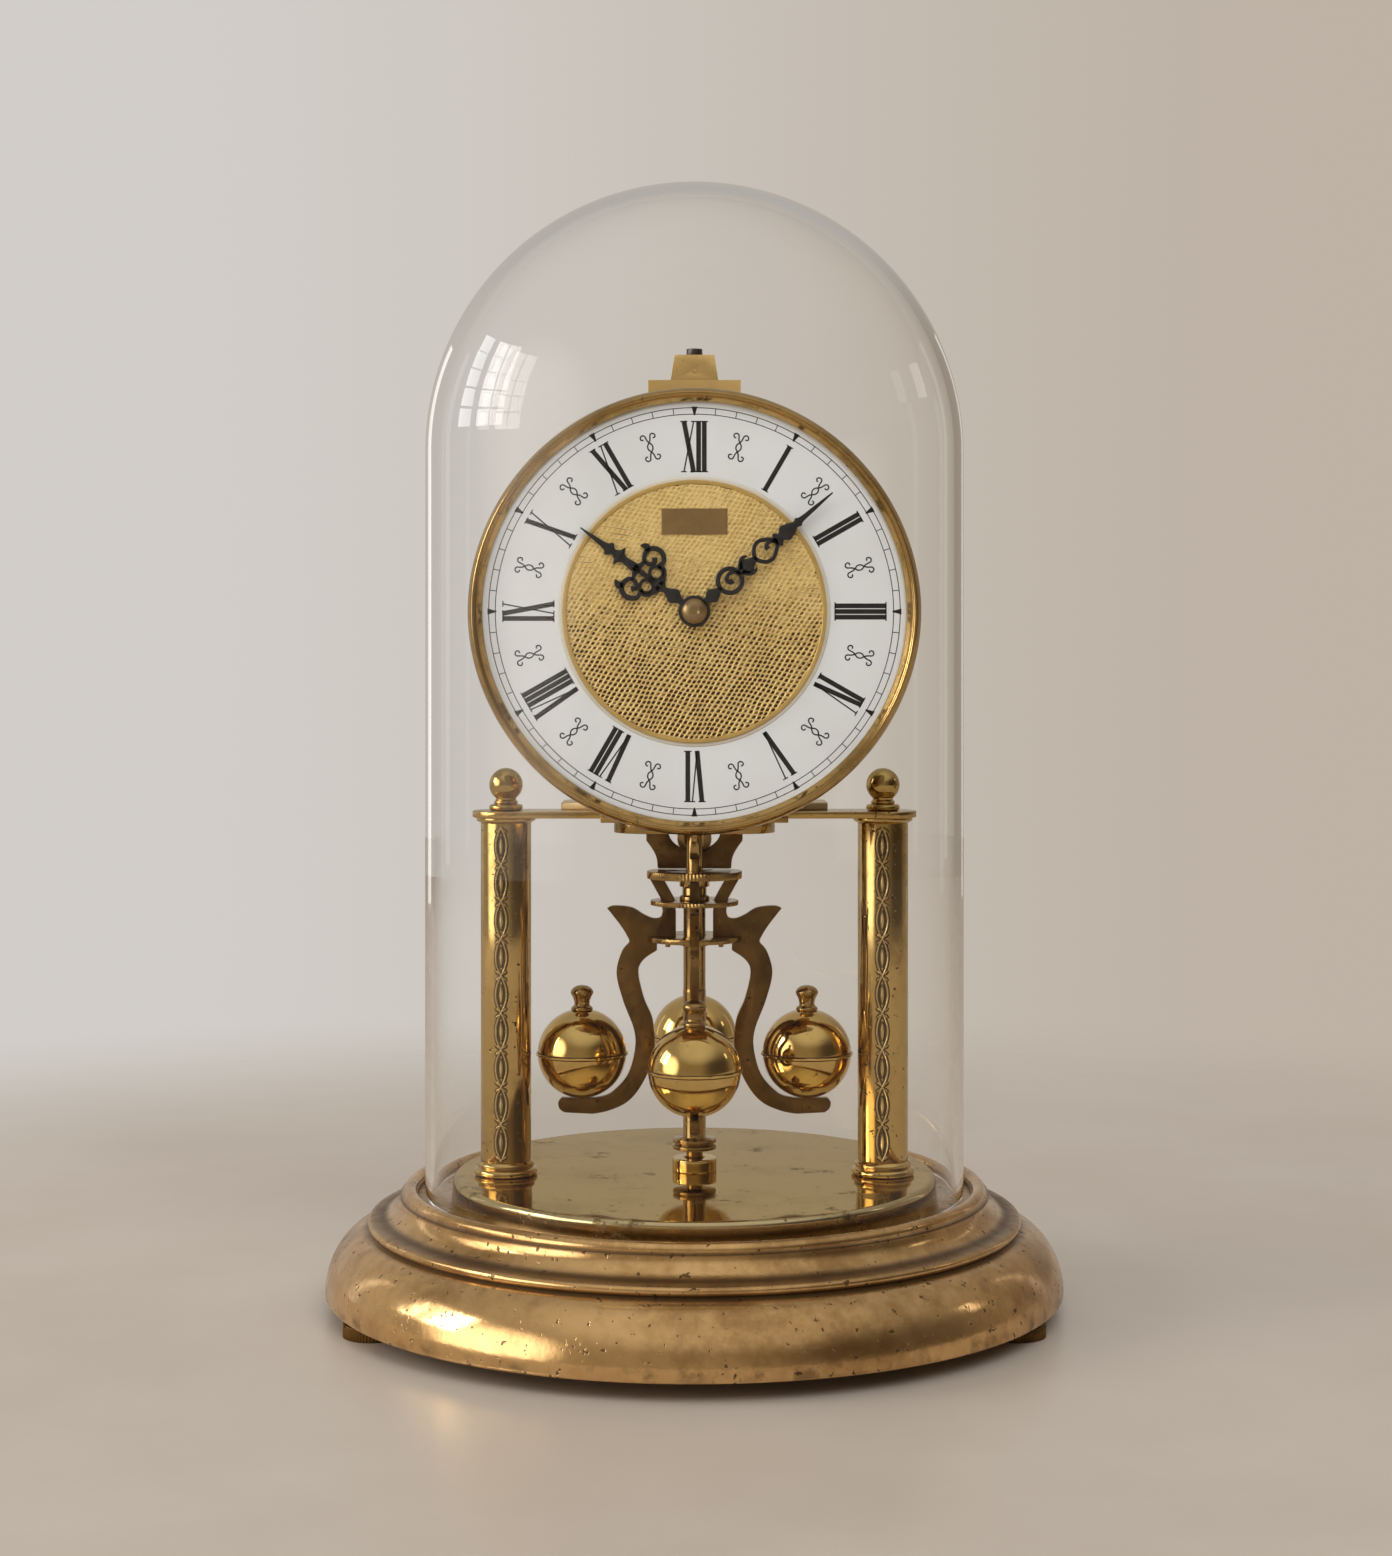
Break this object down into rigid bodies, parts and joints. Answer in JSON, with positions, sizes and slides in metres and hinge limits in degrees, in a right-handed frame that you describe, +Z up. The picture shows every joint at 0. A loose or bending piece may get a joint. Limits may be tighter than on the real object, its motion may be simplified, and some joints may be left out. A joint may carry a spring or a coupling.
{
  "type": "torsion pendulum clock",
  "caption": "Brass torsion pendulum clock under a lift-off glass dome: white dial with Roman numerals, open movement on pillars, and a ball pendulum on a ribbon spring.",
  "frame": {"origin": "on the table, on the axis that the base, the dome and the pendulum share", "axes": "+Z up, the dial faces -Y, +X is to the right as seen from the front"},
  "size_m": [0.2046, 0.2046, 0.312],
  "materials": {
    "spun_brass": "aged, scuffed, brown in the grooves",
    "polished_brass": "polished",
    "aged_brass": "aged",
    "dark_brass": "dark brown patina",
    "steel": "turned",
    "blued_steel": "blued",
    "dome_glass": "clear",
    "white_enamel": "white, printed black",
    "gilt": "gilt, embossed crosshatch",
    "black_paint": "satin black"
  },
  "bodies": {
    "frame": {"base_shell": "spun_brass", "deck_plate": "polished_brass", "guide_cup": "polished_brass", "pillar_left": "aged_brass", "pillar_right": "aged_brass", "pillar_rings": "aged_brass", "tie_rods": "steel", "finial_left": "aged_brass", "finial_right": "aged_brass", "platform": "aged_brass", "movement_seat": "polished_brass", "under_plate": "aged_brass", "guard_bracket": "dark_brass", "front_plate": "polished_brass", "back_plate": "polished_brass", "plate_posts": "polished_brass", "suspension_bracket": "polished_brass", "beat_screw": "blued_steel", "upper_block": "polished_brass", "suspension_spring": "blued_steel", "click_spring": "blued_steel", "dial": "white_enamel", "dial_centre": "gilt", "bezel": "aged_brass"},
    "dome": {"glass_dome": "dome_glass"},
    "pendulum": {"lower_block": "polished_brass", "hanger": "polished_brass", "middle_disc": "aged_brass", "lower_disc": "aged_brass", "pendulum_stem": "polished_brass", "arm_left": "dark_brass", "arm_right": "dark_brass", "arm_front": "dark_brass", "arm_back": "dark_brass", "balls": "polished_brass", "ball_nuts": "aged_brass"},
    "regulator": {"regulating_disc": "aged_brass"},
    "fork": {"suspension_fork": "polished_brass"},
    "anchor": {"anchor": "steel"},
    "centre": {"centre_wheel": "polished_brass", "cannon_pinion": "polished_brass", "minute_hand": "black_paint", "hand_nut": "aged_brass"},
    "hour": {"hour_wheel": "polished_brass", "hour_hand": "black_paint"},
    "minute_wheel": {"minute_wheel": "polished_brass"},
    "third": {"third_wheel": "polished_brass"},
    "second": {"second_wheel": "polished_brass"},
    "barrel": {"barrel": "polished_brass", "barrel_cap": "polished_brass", "mainspring": "blued_steel"},
    "fourth": {"fourth_wheel": "polished_brass"},
    "escape": {"escape_wheel": "polished_brass"},
    "winding": {"winding_arbor": "steel", "ratchet_wheel": "steel"},
    "click": {"click": "steel"},
    "foot_left": {"levelling_foot_left": "spun_brass"},
    "foot_right": {"levelling_foot_right": "spun_brass"},
    "foot_rear": {"levelling_foot_rear": "spun_brass"},
    "lock_screw": {"lock_screw": "polished_brass"}
  },
  "joints": [
    {"name": "dome_lift", "type": "slide", "parent": "frame", "child": "dome", "axis": [0, 0, 1], "range_m": [0, 0.3]},
    {"name": "pendulum_swing", "type": "hinge", "parent": "frame", "child": "pendulum", "pos_m": [0, 0, 0.13], "axis": [0, 0, 1], "range_deg": [-150, 150], "stiffness_Nm_per_rad": 0.00018, "deforming": ["suspension_spring"]},
    {"name": "regulator_turn", "type": "hinge", "parent": "pendulum", "child": "regulator", "pos_m": [0, 0, 0.1193], "axis": [0, 0, 1], "range_deg": [-180, 180]},
    {"name": "fork_turn", "type": "hinge", "parent": "frame", "child": "fork", "pos_m": [0, 0, 0.241], "axis": [0, 0, 1], "range_deg": [-7, 7]},
    {"name": "anchor_rock", "type": "hinge", "parent": "frame", "child": "anchor", "pos_m": [0, -0.018, 0.22175], "axis": [0, 1, 0], "range_deg": [-3.2, 3.2]},
    {"name": "centre_turn", "type": "hinge", "parent": "frame", "child": "centre", "pos_m": [0, -0.018, 0.192], "axis": [0, 1, 0], "continuous": true},
    {"name": "hour_turn", "type": "hinge", "parent": "frame", "child": "hour", "pos_m": [0, -0.018, 0.192], "axis": [0, 1, 0], "continuous": true},
    {"name": "minute_wheel_turn", "type": "hinge", "parent": "frame", "child": "minute_wheel", "pos_m": [-0.0087, -0.018, 0.18794], "axis": [0, 1, 0], "continuous": true},
    {"name": "third_turn", "type": "hinge", "parent": "frame", "child": "third", "pos_m": [0.01554, -0.018, 0.1933], "axis": [0, 1, 0], "continuous": true},
    {"name": "second_turn", "type": "hinge", "parent": "frame", "child": "second", "pos_m": [0.01166, -0.018, 0.17778], "axis": [0, 1, 0], "continuous": true},
    {"name": "barrel_turn", "type": "hinge", "parent": "frame", "child": "barrel", "pos_m": [-0.008, -0.018, 0.1635], "axis": [0, 1, 0], "continuous": true},
    {"name": "fourth_turn", "type": "hinge", "parent": "frame", "child": "fourth", "pos_m": [-0.00688, -0.018, 0.20183], "axis": [0, 1, 0], "continuous": true},
    {"name": "escape_turn", "type": "hinge", "parent": "frame", "child": "escape", "pos_m": [0, -0.018, 0.21015], "axis": [0, 1, 0], "continuous": true},
    {"name": "winding_turn", "type": "hinge", "parent": "frame", "child": "winding", "pos_m": [-0.008, -0.018, 0.1635], "axis": [0, 1, 0], "continuous": true},
    {"name": "click_lift", "type": "hinge", "parent": "frame", "child": "click", "pos_m": [-0.01539, -0.0029, 0.17231], "axis": [0, -1, 0], "range_deg": [0, 10], "stiffness_Nm_per_rad": 0.0005, "springref_deg": -11.46, "deforming": ["click_spring"]},
    {"name": "foot_left_turn", "type": "hinge", "parent": "frame", "child": "foot_left", "pos_m": [-0.08523, -0.03795, 0.002], "axis": [0, 0, 1], "range_deg": [-360, 360]},
    {"name": "foot_right_turn", "type": "hinge", "parent": "frame", "child": "foot_right", "pos_m": [0.08523, -0.03795, 0.002], "axis": [0, 0, 1], "range_deg": [-360, 360]},
    {"name": "foot_rear_turn", "type": "hinge", "parent": "frame", "child": "foot_rear", "pos_m": [0, 0.0933, 0.002], "axis": [0, 0, 1], "range_deg": [-360, 360]},
    {"name": "lock_screw_turn", "type": "hinge", "parent": "frame", "child": "lock_screw", "pos_m": [0, 0.011, 0.1285], "axis": [0, 1, 0], "range_deg": [-360, 360]}
  ],
  "couplings": [
    {"joint": "fork_turn", "follows": "pendulum_swing", "ratio": 0.042641},
    {"joint": "anchor_rock", "follows": "pendulum_swing", "ratio": 0.02},
    {"joint": "hour_turn", "follows": "centre_turn", "ratio": 0.083333},
    {"joint": "minute_wheel_turn", "follows": "centre_turn", "ratio": -0.33333},
    {"joint": "third_turn", "follows": "centre_turn", "ratio": -0.083333},
    {"joint": "second_turn", "follows": "centre_turn", "ratio": 0.0092593},
    {"joint": "barrel_turn", "follows": "centre_turn", "ratio": -0.0011574},
    {"joint": "fourth_turn", "follows": "centre_turn", "ratio": -4},
    {"joint": "escape_turn", "follows": "centre_turn", "ratio": 16}
  ]
}
